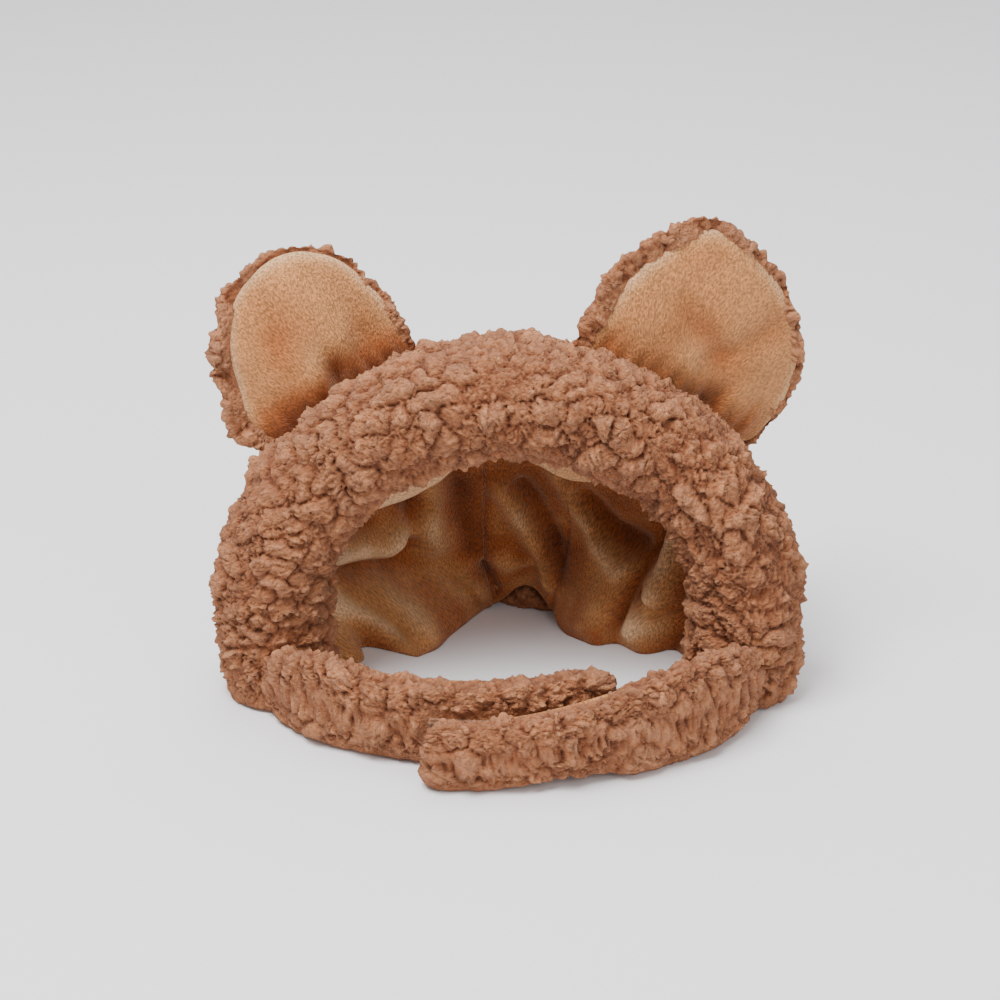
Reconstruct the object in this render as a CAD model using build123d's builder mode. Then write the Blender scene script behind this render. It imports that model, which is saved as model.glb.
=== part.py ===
from build123d import *
import os
from math import asin, atan2, cos, degrees, radians, sin, sqrt

# Animal ears hood: a soft pull-on cap with two padded ears and a two-piece chin strap.
# It stands on its neck opening. The face opening looks along -Y, and the origin is under
# the middle, on the surface it stands on. All sizes are millimetres.
# "left" is the -X side and "right" is the +X side.

# ---- driving dimensions ----
FIT_GAP = 0.2            # between pieces that are sewn face to face
MOVE_GAP = 0.4           # between pieces that move apart

ARCH_HALF_SPAN = 73.0    # middle of the face roll to the middle plane
ARCH_RISE = 64.0         # height of the curved part of the face roll
ARCH_LEG = 30.0          # straight foot below the curved part
ARCH_LEAN = 6.0          # degrees, the face roll leans back
ARCH_Y = -5.7            # where the feet of the face roll stand
FOOT_BELOW = 6.0         # the roll is swept from below and trimmed flat at its feet
ROLL_RADIAL = 17.0       # half size of the roll across the face
ROLL_DEPTH = 16.0        # half size of the roll front to back
WADDING_RADIAL = 8.5
WADDING_DEPTH = 8.0

CROWN_Y = 5.5            # middle of the crown, front to back
CROWN_BASE = 33.0        # height where the dome starts to close
CROWN_HALF = (86.0, 62.0, 80.5)
PILE_FABRIC = 10.5       # curly fleece with its pile
LINING_FABRIC = 2.5      # short plush
LINING_AIR = 1.8         # loose space between fleece and lining
GUSSET_HALF = 17.0       # half width of the middle panel
HEM_HEIGHT = 16.0
LINING_LOW = 1.0
ELASTIC_WIDTH = 8.0
ELASTIC_THICK = 1.2
ELASTIC_LOW = 4.0

STRAP_CENTRE = (-8.0, 45.0)    # centre of the arc that the front of the straps follows
LEFT_RADIUS = 92.0             # middle of the left strap
TAB_RADIUS = 107.0             # middle of the tab, in front of the left strap
STRAP_HALF = 6.0               # half thickness of the left strap
TAB_HALF = 5.5                 # half thickness of the right strap and its tab
LEFT_HEIGHT = 28.0
RIGHT_HEIGHT = 31.0
TAB_END_HEIGHT = 20.0
STRAP_LINING = 3.0
LEFT_ROOT_ANGLE = 222.5        # degrees round STRAP_CENTRE
LEFT_END_X = 30.0
TAB_START_X = 36.0
TAB_END_X = -24.0
RIGHT_ROOT = (82.0, -19.5)
STRAP_ROUNDING = 3.5

PATCH_THICK = 1.2
PATCH_LOW = 4.0
PATCH_HEIGHT = 13.0
PATCH_ANGLE = 271.0            # degrees round STRAP_CENTRE, middle of both patches
PATCH_HALF_ANGLE = 10.0        # half the length of a patch
PATCH_GAP = 0.1                # between a patch and the strap that it is sewn on
STITCH_LENGTH = 1.9
STITCH_WIDTH = 0.45
STITCH_DEPTH = 0.6
STITCH_INSET = 1.3
STITCH_PROUD = 0.3
STITCHES_LONG = 12
STITCHES_SHORT = 4

EAR_X = {"ear_left": -52.0, "ear_right": 49.0}       # where the ears stand on the arch
EAR_RADIUS = {"ear_left": 29.5, "ear_right": 31.0}
EAR_LIFT = 3.0           # hinge line above the face roll
EAR_BEHIND = 16.0        # hinge line behind the middle of the roll
EAR_CENTRE = 13.5        # centre of the ear's round outline above the hinge line
EAR_BASE_HALF = 24.0
EAR_HALF_THICK = 6.5
EAR_SEAM_DEPTH = 1.5     # the seam between back and front, ahead of the middle
EAR_ROUNDING = 3.5
BATTING_INSET = 6.0
BATTING_BACK = 2.5
BATTING_FRONT = 3.6
FAR = 200.0

# ---- the leaning plane of the face roll ----
LEAN_UP = Vector(0, sin(radians(ARCH_LEAN)), cos(radians(ARCH_LEAN)))
LEAN_BACK = Vector(0, cos(radians(ARCH_LEAN)), -sin(radians(ARCH_LEAN)))
ARCH_PLANE = Plane(origin=(0, ARCH_Y, 0), x_dir=(1, 0, 0), z_dir=LEAN_BACK * -1)
BEHIND_ROLL = Plane(origin=(0, ARCH_Y, 0), x_dir=(1, 0, 0), z_dir=LEAN_BACK)

os.makedirs("parts", exist_ok=True)


def keep(piece, label):
    """Label a finished piece and write its STEP file."""
    piece.part.label = label
    export_step(piece.part, f"parts/{label}.step")


# ---- face roll ----
def roll_of(radial, depth, bore=None, foot=0.0):
    """An oval section swept along the arch and trimmed flat at height foot, with an oval bore."""
    with BuildPart() as roll:
        with BuildLine(ARCH_PLANE) as route:
            leg = Line((ARCH_HALF_SPAN, -FOOT_BELOW), (ARCH_HALF_SPAN, ARCH_LEG))
            EllipticalCenterArc((0, ARCH_LEG), ARCH_HALF_SPAN, ARCH_RISE, arc_size=180)
            Line((-ARCH_HALF_SPAN, ARCH_LEG), (-ARCH_HALF_SPAN, -FOOT_BELOW))
        with BuildSketch(Plane(origin=leg @ 0, x_dir=(1, 0, 0), z_dir=leg % 0)):
            Ellipse(radial, depth)
            if bore:
                Ellipse(*bore, mode=Mode.SUBTRACT)
        sweep(path=route.line)
        split(bisect_by=Plane.XY.offset(foot), keep=Keep.TOP)
    return roll.part


roll_envelope = roll_of(ROLL_RADIAL + FIT_GAP, ROLL_DEPTH + FIT_GAP)
roll_clearance = roll_of(ROLL_RADIAL + MOVE_GAP, ROLL_DEPTH + MOVE_GAP)

with BuildPart() as face_band:
    add(roll_of(ROLL_RADIAL, ROLL_DEPTH, bore=(WADDING_RADIAL + FIT_GAP, WADDING_DEPTH + FIT_GAP)))
keep(face_band, "face_band")

with BuildPart() as face_band_wadding:
    add(roll_of(WADDING_RADIAL, WADDING_DEPTH, foot=FIT_GAP))
keep(face_band_wadding, "face_band_wadding")


# ---- ears: their planes, then the groove that they turn in ----
def ear_plane_of(name):
    """The plane of an ear: origin in the middle of the hinge line, x along it, y to the tip, z forward."""
    half_span = ARCH_HALF_SPAN + ROLL_RADIAL
    rise = ARCH_RISE + ROLL_RADIAL
    up = rise * sqrt(1 - (EAR_X[name] / half_span) ** 2)
    slope = Vector(EAR_X[name] / half_span**2, up / rise**2).normalized()
    across = EAR_X[name] + slope.X * EAR_LIFT
    height = ARCH_LEG + up + slope.Y * EAR_LIFT
    origin = ARCH_PLANE.origin + Vector(across, 0, 0) + LEAN_UP * height + LEAN_BACK * EAR_BEHIND
    tangent = Vector(slope.Y, 0, 0) - LEAN_UP * slope.X
    return Plane(origin=origin, x_dir=tangent, z_dir=LEAN_BACK * -1)


def hinge_rod(plane, radius):
    """A long rod on an ear's hinge line."""
    with BuildPart() as rod:
        with BuildSketch(Plane(origin=plane.origin, x_dir=plane.y_dir, z_dir=plane.x_dir)):
            Circle(radius)
        extrude(amount=EAR_BASE_HALF + EAR_HALF_THICK, both=True)
    return rod.part


ear_planes = {name: ear_plane_of(name) for name in EAR_X}
ear_grooves = {name: hinge_rod(plane, EAR_HALF_THICK + MOVE_GAP) for name, plane in ear_planes.items()}


# ---- crown and lining, behind the face roll ----
def dome_of(inset, low):
    """A solid dome from height low, set in from the outside: an oval skirt and half an ellipsoid."""
    half_x, half_y, half_z = (size - inset for size in CROWN_HALF)
    with BuildPart() as dome:
        Sphere(1, arc_size1=0, align=(Align.CENTER, Align.CENTER, Align.MIN))
        scale(by=(half_x, half_y, half_z))
        with BuildSketch(Plane.XY.offset(low - CROWN_BASE)):
            Ellipse(half_x, half_y)
        extrude(amount=CROWN_BASE - low)
    return dome.part.moved(Location((0, CROWN_Y, CROWN_BASE)))


def shell_behind_roll(outer_inset, inner_inset, low):
    """The wall between two domes, from the face roll to the back."""
    with BuildPart() as shell:
        add(dome_of(outer_inset, low))
        add(dome_of(inner_inset, low), mode=Mode.SUBTRACT)
        split(bisect_by=BEHIND_ROLL, keep=Keep.TOP)
        add(roll_envelope, mode=Mode.SUBTRACT)
        for groove in ear_grooves.values():
            add(groove, mode=Mode.SUBTRACT)
    return shell.part


LINING_OUTSIDE = PILE_FABRIC + LINING_AIR
crown_shell = shell_behind_roll(0, PILE_FABRIC, HEM_HEIGHT + FIT_GAP)
lining_shell = shell_behind_roll(LINING_OUTSIDE, LINING_OUTSIDE + LINING_FABRIC, LINING_LOW)

for kind, shell in (("crown", crown_shell), ("lining", lining_shell)):
    with BuildPart() as gusset:
        add(shell)
        Box(2 * GUSSET_HALF, FAR * 2, FAR * 2, mode=Mode.INTERSECT)
    keep(gusset, f"{kind}_gusset")
    for side, edge in (("left", Align.MAX), ("right", Align.MIN)):
        seam_x = (GUSSET_HALF + MOVE_GAP) * (-1 if side == "left" else 1)
        with BuildPart() as side_panel:
            add(shell)
            with Locations((seam_x, 0)):
                Box(FAR, FAR * 2, FAR * 2, align=(edge, Align.CENTER, Align.CENTER), mode=Mode.INTERSECT)
        keep(side_panel, f"{kind}_side_{side}")


# ---- neck hem with its elastic ----
def hem_ring(outer_inset, inner_inset, low, high):
    """An oval band behind the face roll, between two insets from the crown's outside."""
    with BuildPart() as ring:
        with BuildSketch(Plane(origin=(0, CROWN_Y, low))):
            Ellipse(CROWN_HALF[0] - outer_inset, CROWN_HALF[1] - outer_inset)
            Ellipse(CROWN_HALF[0] - inner_inset, CROWN_HALF[1] - inner_inset, mode=Mode.SUBTRACT)
        extrude(amount=high - low)
        split(bisect_by=BEHIND_ROLL, keep=Keep.TOP)
        add(roll_envelope, mode=Mode.SUBTRACT)
    return ring.part


ELASTIC_OUTSIDE = PILE_FABRIC / 2
ELASTIC_INSIDE = ELASTIC_OUTSIDE + ELASTIC_THICK
ELASTIC_HIGH = ELASTIC_LOW + ELASTIC_WIDTH

with BuildPart() as neck_elastic:
    add(hem_ring(ELASTIC_OUTSIDE, ELASTIC_INSIDE, ELASTIC_LOW, ELASTIC_HIGH))
keep(neck_elastic, "neck_elastic")

elastic_channel = hem_ring(
    ELASTIC_OUTSIDE - FIT_GAP, ELASTIC_INSIDE + FIT_GAP, ELASTIC_LOW - FIT_GAP, ELASTIC_HIGH + FIT_GAP
)
with BuildPart() as neck_hem:
    add(hem_ring(0, LINING_OUTSIDE - FIT_GAP, 0, HEM_HEIGHT))
    add(elastic_channel, mode=Mode.SUBTRACT)
keep(neck_hem, "neck_hem")


# ---- chin strap ----
def on_strap(radius, angle):
    """A point on a circle round STRAP_CENTRE."""
    return Vector(*STRAP_CENTRE) + Vector(cos(radians(angle)), sin(radians(angle))) * radius


def angle_at(radius, x):
    """The angle of the point of that circle, on its front side, at x."""
    return 270 + degrees(asin((x - STRAP_CENTRE[0]) / radius))


def arc_band(centre, radii, start, size, low=0.0, height=LEFT_HEIGHT, rounding=0.0):
    """An upright band between two radii, with the long edges of its top rounded."""
    with BuildPart() as band:
        with BuildSketch(Plane.XY.offset(low)):
            with BuildLine():
                inside = CenterArc(centre, radii[0], start, size)
                outside = CenterArc(centre, radii[1], start, size)
                Line(inside @ 0, outside @ 0)
                Line(inside @ 1, outside @ 1)
            make_face()
        extrude(amount=height)
        if rounding:
            top_edges = band.edges().group_by(Axis.Z)[-1]
            fillet(top_edges.filter_by(GeomType.CIRCLE), radius=rounding)
    return band.part


LEFT_INSIDE = LEFT_RADIUS - STRAP_HALF
LEFT_OUTSIDE = LEFT_RADIUS + STRAP_HALF
LEFT_SIZE = angle_at(LEFT_RADIUS, LEFT_END_X) - LEFT_ROOT_ANGLE

with BuildPart() as strap_left_cover:
    cover_radii = (LEFT_INSIDE + STRAP_LINING + FIT_GAP, LEFT_OUTSIDE)
    add(arc_band(STRAP_CENTRE, cover_radii, LEFT_ROOT_ANGLE, LEFT_SIZE, rounding=STRAP_ROUNDING))
    add(roll_clearance, mode=Mode.SUBTRACT)
keep(strap_left_cover, "strap_left_cover")

with BuildPart() as strap_left_lining:
    lining_radii = (LEFT_INSIDE, LEFT_INSIDE + STRAP_LINING)
    add(arc_band(STRAP_CENTRE, lining_radii, LEFT_ROOT_ANGLE, LEFT_SIZE, height=LEFT_HEIGHT - STRAP_ROUNDING))
    add(roll_clearance, mode=Mode.SUBTRACT)
keep(strap_left_lining, "strap_left_lining")

TAB_INSIDE = TAB_RADIUS - TAB_HALF
TAB_OUTSIDE = TAB_RADIUS + TAB_HALF
TAB_ANGLE = angle_at(TAB_RADIUS, TAB_START_X)
TAB_SIZE = angle_at(TAB_RADIUS, TAB_END_X) - TAB_ANGLE

# The right strap goes on from the tab in an arc of its own, tangent to the tab and bent back to its root.
right_start = on_strap(TAB_RADIUS, TAB_ANGLE + degrees(MOVE_GAP / TAB_RADIUS))
right_chord = Vector(*RIGHT_ROOT) - right_start
right_turn = 2 * (atan2(right_chord.Y, right_chord.X) - radians(TAB_ANGLE - 270))
right_bend = right_chord.length / (2 * sin(right_turn / 2))
right_centre = right_start - Vector(cos(radians(TAB_ANGLE)), sin(radians(TAB_ANGLE))) * right_bend
right_arc = (TAB_ANGLE, degrees(right_turn))

with BuildPart() as strap_right_cover:
    cover_radii = (right_bend - TAB_HALF + STRAP_LINING + FIT_GAP, right_bend + TAB_HALF)
    add(arc_band(right_centre, cover_radii, *right_arc, height=RIGHT_HEIGHT, rounding=STRAP_ROUNDING))
    add(roll_clearance, mode=Mode.SUBTRACT)
keep(strap_right_cover, "strap_right_cover")

with BuildPart() as strap_right_lining:
    lining_radii = (right_bend - TAB_HALF, right_bend - TAB_HALF + STRAP_LINING)
    add(arc_band(right_centre, lining_radii, *right_arc, height=RIGHT_HEIGHT - STRAP_ROUNDING))
    add(roll_clearance, mode=Mode.SUBTRACT)
keep(strap_right_lining, "strap_right_lining")

# The tab gets lower towards its free end.
TAB_FALL = atan2(RIGHT_HEIGHT - TAB_END_HEIGHT, TAB_START_X - TAB_END_X)
tab_top = Plane(
    origin=(TAB_START_X, 0, RIGHT_HEIGHT),
    x_dir=(0, 1, 0),
    z_dir=(-sin(TAB_FALL), 0, cos(TAB_FALL)),
)

with BuildPart() as tab_cover:
    cover_radii = (TAB_INSIDE + STRAP_LINING + FIT_GAP, TAB_OUTSIDE)
    add(arc_band(STRAP_CENTRE, cover_radii, TAB_ANGLE, TAB_SIZE, height=RIGHT_HEIGHT))
    split(bisect_by=tab_top, keep=Keep.BOTTOM)
keep(tab_cover, "tab_cover")

with BuildPart() as tab_lining:
    lining_radii = (TAB_INSIDE, TAB_INSIDE + STRAP_LINING)
    add(arc_band(STRAP_CENTRE, lining_radii, TAB_ANGLE, TAB_SIZE, height=RIGHT_HEIGHT))
    split(bisect_by=tab_top.offset(-STRAP_ROUNDING), keep=Keep.BOTTOM)
keep(tab_lining, "tab_lining")

# ---- hook and loop closure, each patch sewn on by a rectangle of stitches ----
LOOP_BACK = LEFT_OUTSIDE + PATCH_GAP
HOOK_BACK = TAB_INSIDE - PATCH_GAP
patch_start = PATCH_ANGLE - PATCH_HALF_ANGLE

for kind, back, outward in (("loop", LOOP_BACK, 1), ("hook", HOOK_BACK, -1)):
    face = back + outward * PATCH_THICK
    stitch_radius = face + outward * (STITCH_PROUD - STITCH_DEPTH / 2)
    inset_angle = degrees(STITCH_INSET / face)
    row_start = patch_start + inset_angle
    row_size = 2 * (PATCH_HALF_ANGLE - inset_angle)
    row_low = PATCH_LOW + STITCH_INSET
    row_step = (PATCH_HEIGHT - 2 * STITCH_INSET) / (STITCHES_SHORT + 1)
    with BuildPart() as stitching:
        for row in range(STITCHES_SHORT + 2):
            full_row = row in (0, STITCHES_SHORT + 1)
            across, upright = (STITCH_LENGTH, STITCH_WIDTH) if full_row else (STITCH_WIDTH, STITCH_LENGTH)
            with Locations(Plane(origin=(*STRAP_CENTRE, row_low + row * row_step))):
                count = STITCHES_LONG if full_row else 2
                with PolarLocations(stitch_radius, count, row_start, row_size, endpoint=True):
                    Box(STITCH_DEPTH, across, upright)
    keep(stitching, f"{kind}_stitching")
    with BuildPart() as patch:
        between = sorted((back, face))
        add(arc_band(STRAP_CENTRE, between, patch_start, 2 * PATCH_HALF_ANGLE, PATCH_LOW, PATCH_HEIGHT))
        add(stitching.part, mode=Mode.SUBTRACT)
    keep(patch, f"{kind}_patch")


# ---- ears ----
def ear_layer(name, inset, low, high, back_rounding=0.0, front_rounding=0.0):
    """One layer of an ear between two depths, its base rounded about the hinge line."""
    plane = ear_planes[name]
    forward = Axis(plane.origin, plane.z_dir)
    with BuildPart() as above_hinge:
        with BuildSketch(plane):
            Rectangle(FAR, FAR, align=(Align.CENTER, Align.MIN))
        extrude(amount=FAR, both=True)
        add(hinge_rod(plane, EAR_HALF_THICK - inset / 2))
    with BuildPart() as layer:
        with BuildSketch(plane.offset(low)):
            with Locations((0, EAR_CENTRE)):
                Circle(EAR_RADIUS[name] - inset)
            with Locations((0, -EAR_HALF_THICK + inset)):
                Rectangle(2 * (EAR_BASE_HALF - inset), 0.5, align=(Align.CENTER, Align.MIN))
            make_hull()
        extrude(amount=high - low)
        if back_rounding:
            fillet(layer.faces().sort_by(forward)[0].edges(), radius=back_rounding)
        if front_rounding:
            fillet(layer.faces().sort_by(forward)[-1].edges(), radius=front_rounding)
        add(above_hinge.part, mode=Mode.INTERSECT)
    return layer.part


for name, plane in ear_planes.items():
    pocket = ear_layer(name, BATTING_INSET - FIT_GAP, -BATTING_BACK - FIT_GAP, BATTING_FRONT + FIT_GAP)

    with BuildPart() as ear_back:
        add(ear_layer(name, 0, -EAR_HALF_THICK, EAR_SEAM_DEPTH, back_rounding=EAR_ROUNDING))
        add(pocket, mode=Mode.SUBTRACT)
    keep(ear_back, f"{name}_back")

    with BuildPart() as ear_front:
        add(ear_layer(name, 0, EAR_SEAM_DEPTH + FIT_GAP, EAR_HALF_THICK, front_rounding=EAR_ROUNDING))
        add(pocket, mode=Mode.SUBTRACT)
    keep(ear_front, f"{name}_front")

    with BuildPart() as ear_batting:
        add(ear_layer(name, BATTING_INSET, -BATTING_BACK, BATTING_FRONT))
    keep(ear_batting, f"{name}_batting")

    print(name, "hinge at", plane.origin, "along", plane.x_dir)

right_outer_root = Vector(*right_centre) + Vector(
    cos(radians(sum(right_arc))), sin(radians(sum(right_arc)))
) * (right_bend + TAB_HALF)
print("left strap hinge at", on_strap(LEFT_OUTSIDE, LEFT_ROOT_ANGLE))
print("right strap hinge at", right_outer_root)
print("tab hinge at", on_strap(TAB_OUTSIDE, TAB_ANGLE))
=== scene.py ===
from itertools import product
from math import cos, pi, radians, sin, sqrt

import bpy
import numpy as np
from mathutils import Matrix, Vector
from mathutils.kdtree import KDTree
from numpy.linalg import norm


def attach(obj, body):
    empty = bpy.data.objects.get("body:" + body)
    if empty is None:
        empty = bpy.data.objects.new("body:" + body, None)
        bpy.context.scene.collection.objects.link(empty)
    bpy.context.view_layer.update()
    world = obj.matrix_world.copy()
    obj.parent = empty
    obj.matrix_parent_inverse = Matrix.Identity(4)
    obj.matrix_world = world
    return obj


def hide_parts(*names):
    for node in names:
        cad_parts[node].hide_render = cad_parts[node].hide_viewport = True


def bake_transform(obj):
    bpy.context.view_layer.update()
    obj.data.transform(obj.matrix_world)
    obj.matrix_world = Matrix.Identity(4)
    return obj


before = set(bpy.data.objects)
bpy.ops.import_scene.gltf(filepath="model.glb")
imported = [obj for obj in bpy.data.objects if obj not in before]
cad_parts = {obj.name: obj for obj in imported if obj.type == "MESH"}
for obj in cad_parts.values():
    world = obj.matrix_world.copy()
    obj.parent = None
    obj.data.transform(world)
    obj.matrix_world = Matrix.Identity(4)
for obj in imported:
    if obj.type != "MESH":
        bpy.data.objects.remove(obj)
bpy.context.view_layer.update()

# Lengths below are in millimetres, as in the CAD model. build() turns them into metres.
METRE = 1000.0

# ---- sizes shared with the CAD model ----
ARCH_HALF_SPAN, ARCH_RISE, ARCH_LEG = 73.0, 64.0, 30.0
ARCH_LEAN, ARCH_Y = radians(6.0), -5.7
ROLL_RADIAL, ROLL_DEPTH = 17.0, 16.0
CROWN_MIDDLE = np.array((0.0, 5.5, 33.0))
CROWN_HALF = np.array((86.0, 62.0, 80.5))
STRAP_CENTRE = np.array((-8.0, 45.0))
GUSSET_HALF = 17.0

LEAN_UP = np.array((0.0, sin(ARCH_LEAN), cos(ARCH_LEAN)))
LEAN_BACK = np.array((0.0, cos(ARCH_LEAN), -sin(ARCH_LEAN)))
UP = np.array((0.0, 0.0, 1.0))


# ---- noise ----
def smooth_noise(points, cell, seed):
    """Smooth random values from -1 to 1 at each point, changing over lengths of about a cell."""
    scaled = points / cell
    corner = np.floor(scaled).astype(np.int64)
    part = scaled - corner
    part = part * part * (3 - 2 * part)
    total = np.zeros(len(points))
    for step in product((0, 1), repeat=3):
        key = corner + np.array(step)
        mixed = key[:, 0] * 73856093 ^ key[:, 1] * 19349663 ^ key[:, 2] * 83492791 ^ seed * 26544357
        mixed = (mixed ^ mixed >> 13) * 1274126177 & 0xFFFFFFFF
        value = (mixed ^ mixed >> 16 & 0xFFFF) % 65536 / 32767.5 - 1
        total += value * np.prod(np.where(step, part, 1 - part), axis=1)
    return total


def smooth_vectors(points, cell, seed):
    """Three smooth noises as a vector for each point."""
    return np.stack([smooth_noise(points, cell, seed + axis) for axis in range(3)], axis=1)


# ---- meshes ----
class Shape:
    """The points and faces of one closed piece, in millimetres, with values that its material reads."""

    def __init__(self, points, faces):
        self.points = np.asarray(points, float)
        self.faces = faces
        self.values = {}

    def triangles(self):
        """The faces as triangles."""
        return np.array([(f[0], f[i], f[i + 1]) for f in self.faces for i in range(1, len(f) - 1)])

    def normals_and_areas(self):
        """Each point's outward direction and its share of the surface."""
        tri = self.triangles()
        a, b, c = (self.points[tri[:, i]] for i in range(3))
        cross = np.cross(b - a, c - a)
        normal, area = np.zeros_like(self.points), np.zeros(len(self.points))
        for i in range(3):
            np.add.at(normal, tri[:, i], cross)
            np.add.at(area, tri[:, i], norm(cross, axis=1) / 6)
        return normal / np.maximum(norm(normal, axis=1, keepdims=True), 1e-9), area

    def edges(self):
        """Every pair of neighbouring points, once."""
        pairs = np.array([(f[i - 1], f[i]) for f in self.faces for i in range(len(f))])
        return np.unique(np.sort(pairs, axis=1), axis=0)

    def blurred(self, values, rounds):
        """The values averaged over neighbours, that many times."""
        edges = self.edges()
        count = np.bincount(edges.ravel(), minlength=len(self.points)).astype(float)
        if values.ndim > 1:
            count = count[:, None]
        for _ in range(rounds):
            total = np.zeros_like(values)
            np.add.at(total, edges[:, 0], values[edges[:, 1]])
            np.add.at(total, edges[:, 1], values[edges[:, 0]])
            values = 0.5 * values + 0.5 * total / count
        return values

    def facing_out(self):
        """Turn every face outward, which makes the volume inside positive."""
        tri = self.triangles()
        a, b, c = (self.points[tri[:, i]] for i in range(3))
        if (a * np.cross(b, c)).sum() < 0:
            self.faces = [tuple(reversed(face)) for face in self.faces]
        return self

    def rest_on_floor(self, height=0.15):
        """Flatten what would sink below the floor."""
        self.points[:, 2] = np.maximum(self.points[:, 2], height)
        return self


def tube(rings):
    """A closed shape from rings of points, (rings, round, 3), with a point in the middle of each end."""
    count, size, _ = rings.shape
    index = np.arange(count * size).reshape(count, size)
    faces = [
        (index[i, j], index[i, (j + 1) % size], index[i + 1, (j + 1) % size], index[i + 1, j])
        for i in range(count - 1)
        for j in range(size)
    ]
    first, last = count * size, count * size + 1
    faces += [(first, index[0, (j + 1) % size], index[0, j]) for j in range(size)]
    faces += [(last, index[-1, j], index[-1, (j + 1) % size]) for j in range(size)]
    points = np.concatenate([rings.reshape(-1, 3), [rings[0].mean(0)], [rings[-1].mean(0)]])
    return Shape(points, faces).facing_out()


def shell(outer, inner):
    """A closed sheet from two grids of points of one size, (rows, columns, 3), joined round their edges."""
    rows, columns, _ = outer.shape
    index = np.arange(rows * columns).reshape(rows, columns)
    below = index + rows * columns
    faces = [
        (index[i, j], index[i + 1, j], index[i + 1, j + 1], index[i, j + 1])
        for i in range(rows - 1)
        for j in range(columns - 1)
    ]
    faces += [tuple(reversed([corner + rows * columns for corner in face])) for face in faces]
    edge = [*index[0, :], *index[1:, -1], *index[-1, -2::-1], *index[-2:0:-1, 0]]
    under = [*below[0, :], *below[1:, -1], *below[-1, -2::-1], *below[-2:0:-1, 0]]
    for i in range(len(edge)):
        faces.append((edge[i - 1], edge[i], under[i], under[i - 1]))
    return Shape(np.concatenate([outer.reshape(-1, 3), inner.reshape(-1, 3)]), faces).facing_out()


def joined(first, second):
    """Two shapes as one piece."""
    shift = len(first.points)
    both = Shape(
        np.concatenate([first.points, second.points]),
        first.faces + [tuple(corner + shift for corner in face) for face in second.faces],
    )
    both.values = {key: np.concatenate([first.values[key], second.values[key]]) for key in first.values}
    return both


def build(name, shape, material, nodes):
    """The Blender object of a shape, standing for CAD nodes."""
    mesh = bpy.data.meshes.new(name)
    mesh.from_pydata((shape.points / METRE).tolist(), [], shape.faces)
    mesh.polygons.foreach_set("use_smooth", [True] * len(mesh.polygons))
    for key, values in shape.values.items():
        kind, field = ("FLOAT", "value") if values.ndim == 1 else ("FLOAT_VECTOR", "vector")
        mesh.attributes.new(key, kind, "POINT").data.foreach_set(field, values.astype(np.float32).ravel())
    mesh.materials.append(material)
    piece = bpy.data.objects.new(name, mesh)
    bpy.context.scene.collection.objects.link(piece)
    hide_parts(*nodes)
    return piece


# ---- curly fleece ----
# Two layers of packed locks: broad lobes, and the curls on them. Thin creases run between neighbours.
LAYERS = (
    {"spacing": 7.2, "length": (2.0, 13.0), "rise": 0.8, "crease": 3.2, "depth": 1.6, "reach": 8.5},
    {"spacing": 2.1, "length": (3.0, 9.0), "rise": 0.55, "crease": 1.05, "depth": 1.5, "reach": 3.6},
)
LOCK_BEND = (0.2, 1.2)        # radians, between the two halves of a lock
COMBED = 13.0                 # the size of a patch whose locks lie about the same way
COMB_TURN, COMB_SPREAD = 2.8, 0.4     # radians, between patches and within one
RISE_LIMITS = (-1.5, 1.8)     # the lowest and highest lock against the rest
EDGE_FALL = 0.12              # how far a lock falls for each millimetre from its middle line
PILE_STANDS = 0.4             # the middle of the pile above the fabric's outside
PILE_LEAN = 0.3               # how far a lock leans over, as a share of its height
STRAY_LOCKS = 0.08            # the share of curls that stand out from the rest
STRAY_RISE = 1.2
ROUGHNESS = 0.12              # of a lock's surface
VALLEY_ROUNDS = 14            # blurring rounds against which a valley is measured
SHADE_RANGE = 3.4             # the height over which the painted shade runs from the darkest depth to the palest tip


def spread_out(shape, tree, allowed, gap, rng):
    """Points of a shape picked at random, none of them nearer than the gap to another."""
    free, picked = allowed.copy(), []
    for index in rng.permutation(np.flatnonzero(allowed)):
        if free[index]:
            picked.append(index)
            for _, near, _ in tree.find_range(shape.points[index], gap):
                free[near] = False
    return picked


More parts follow.
